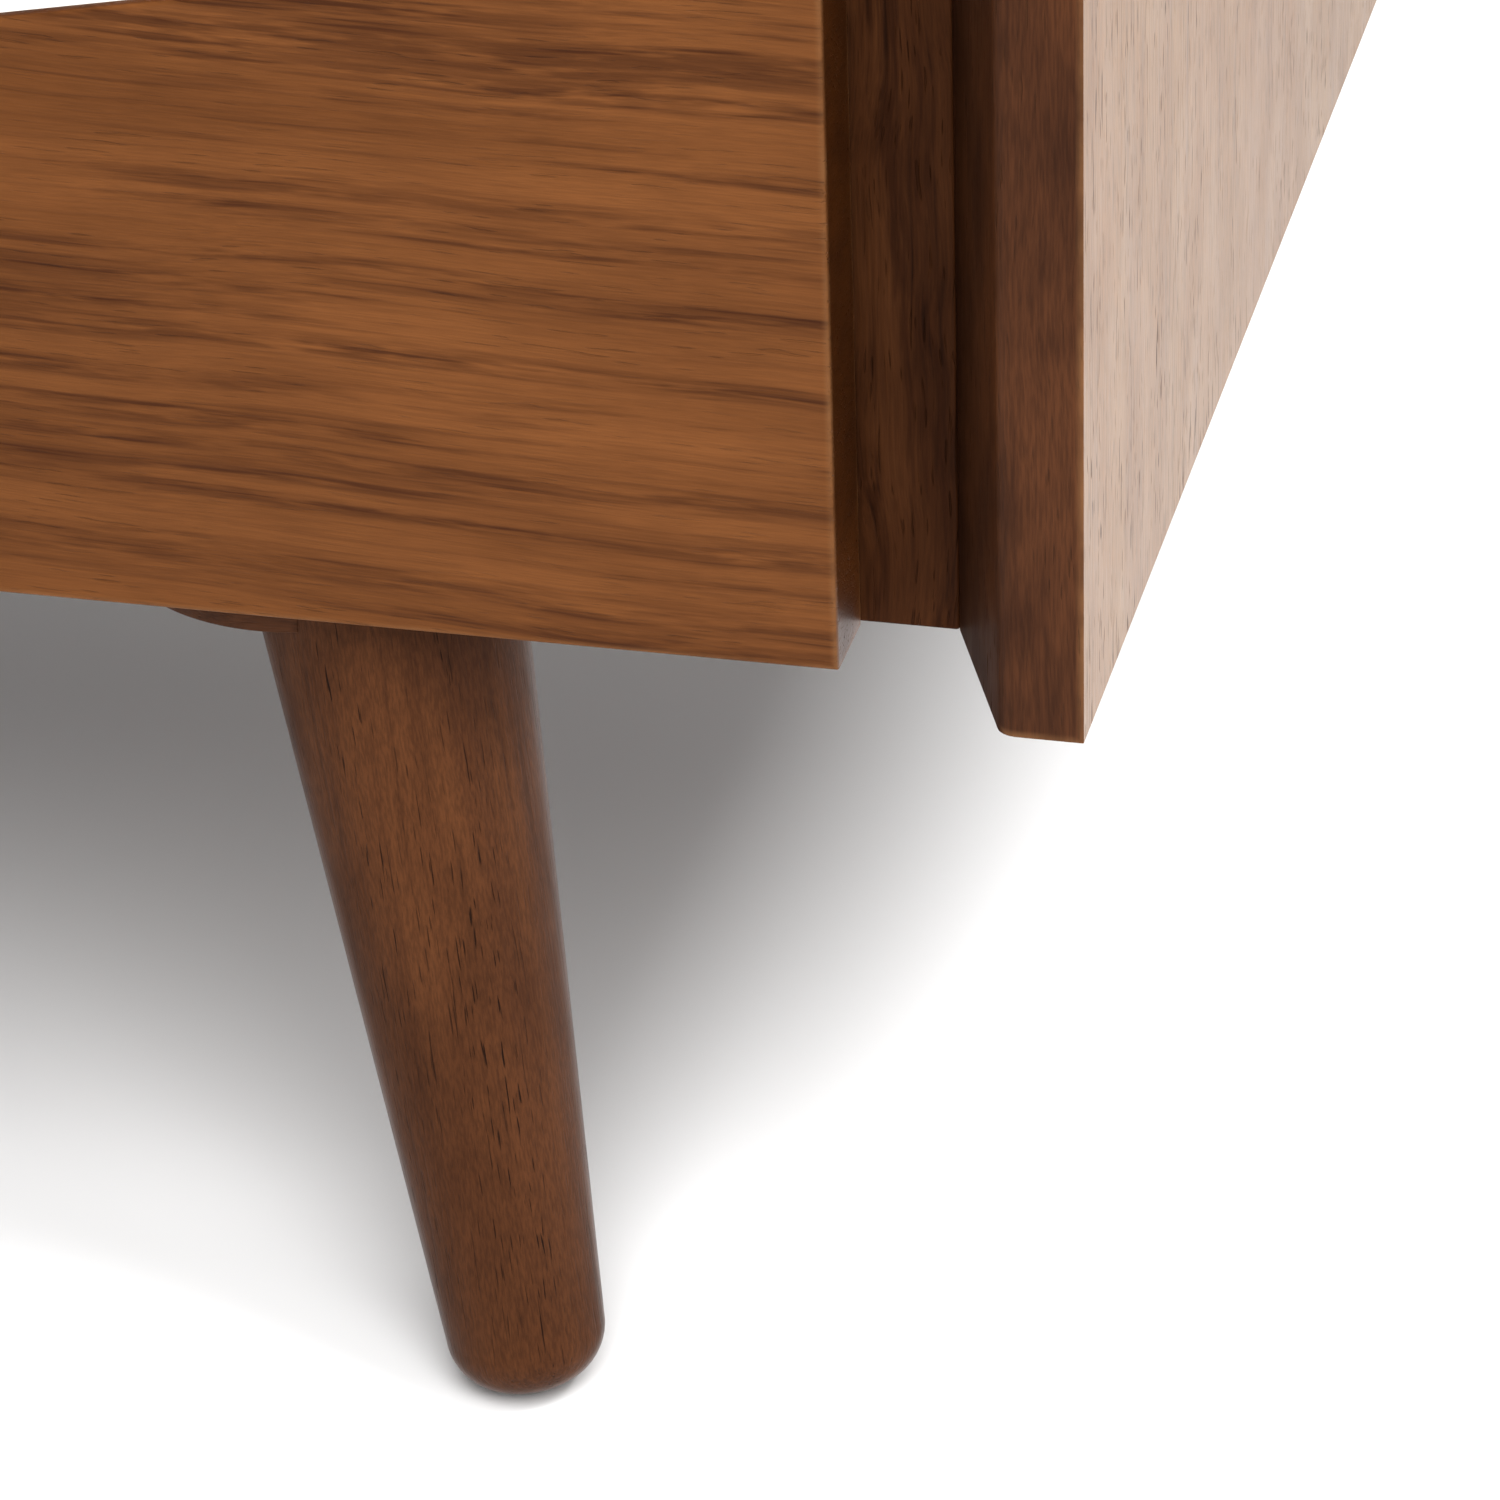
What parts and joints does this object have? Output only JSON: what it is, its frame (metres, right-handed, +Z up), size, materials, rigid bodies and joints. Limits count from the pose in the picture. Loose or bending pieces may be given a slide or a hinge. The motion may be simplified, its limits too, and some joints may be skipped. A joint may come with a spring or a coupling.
{
  "type": "side table with drawer",
  "caption": "Small wooden side table on splayed tapered legs, with a bevelled mitred case, an open white niche and a drawer on slides under it.",
  "frame": {"origin": "on the floor, under the middle of the case", "axes": "+Z up, +X to the right as seen from the front, -Y towards the person who opens the drawer"},
  "size_m": [0.55, 0.4, 0.52],
  "materials": {
    "walnut_case": "satin",
    "walnut_frame": "satin",
    "leg_wood": "satin",
    "white_lacquer": "satin",
    "back_plywood": "satin",
    "birch": "satin",
    "slide_steel": "zinc plated",
    "zinc_steel": "zinc plated",
    "nylon": "matte",
    "bumper_rubber": "matte"
  },
  "bodies": {
    "case": {"side_panel_left": "walnut_case", "side_panel_right": "walnut_case", "top_panel": "walnut_case", "top_rail": "walnut_frame", "bottom_panel": "walnut_frame", "niche_floor": "white_lacquer", "niche_liner_left": "white_lacquer", "niche_liner_right": "white_lacquer", "niche_ceiling": "white_lacquer", "niche_back": "white_lacquer", "back_panel": "back_plywood", "stile_left": "walnut_frame", "stile_right": "walnut_frame", "slide_cleat_left": "birch", "slide_cleat_right": "birch", "leg_disc_front_left": "leg_wood", "leg_disc_front_right": "leg_wood", "leg_disc_rear_left": "leg_wood", "leg_disc_rear_right": "leg_wood", "leg_front_left": "leg_wood", "leg_front_right": "leg_wood", "leg_rear_left": "leg_wood", "leg_rear_right": "leg_wood", "leg_bolts": "zinc_steel", "leg_inserts": "zinc_steel", "disc_screws": "zinc_steel", "case_dowels": "birch", "mitre_splines": "birch", "cleat_screws": "zinc_steel", "back_panel_screws": "zinc_steel", "slide_outer_left": "slide_steel", "slide_outer_right": "slide_steel", "case_glides": "nylon", "case_slide_screws": "zinc_steel"},
    "runner_left": {"slide_middle_left": "slide_steel", "runner_glides_left": "nylon"},
    "runner_right": {"slide_middle_right": "slide_steel", "runner_glides_right": "nylon"},
    "drawer": {"drawer_front": "walnut_case", "drawer_box_front": "birch", "drawer_side_left": "birch", "drawer_side_right": "birch", "drawer_back": "birch", "drawer_bottom": "birch", "slide_inner_left": "slide_steel", "slide_inner_right": "slide_steel", "drawer_glides": "nylon", "drawer_dowels": "birch", "drawer_front_screws": "zinc_steel", "drawer_slide_screws": "zinc_steel", "drawer_bumpers": "bumper_rubber"}
  },
  "joints": [
    {"name": "drawer_pull", "type": "slide", "parent": "case", "child": "drawer", "axis": [0, -1, 0], "range_m": [0, 0.26]},
    {"name": "runner_left_extend", "type": "slide", "parent": "case", "child": "runner_left", "axis": [0, -1, 0], "range_m": [0, 0.13]},
    {"name": "runner_right_extend", "type": "slide", "parent": "case", "child": "runner_right", "axis": [0, -1, 0], "range_m": [0, 0.13]}
  ],
  "couplings": [
    {"joint": "runner_left_extend", "follows": "drawer_pull", "ratio": 0.5},
    {"joint": "runner_right_extend", "follows": "drawer_pull", "ratio": 0.5}
  ]
}
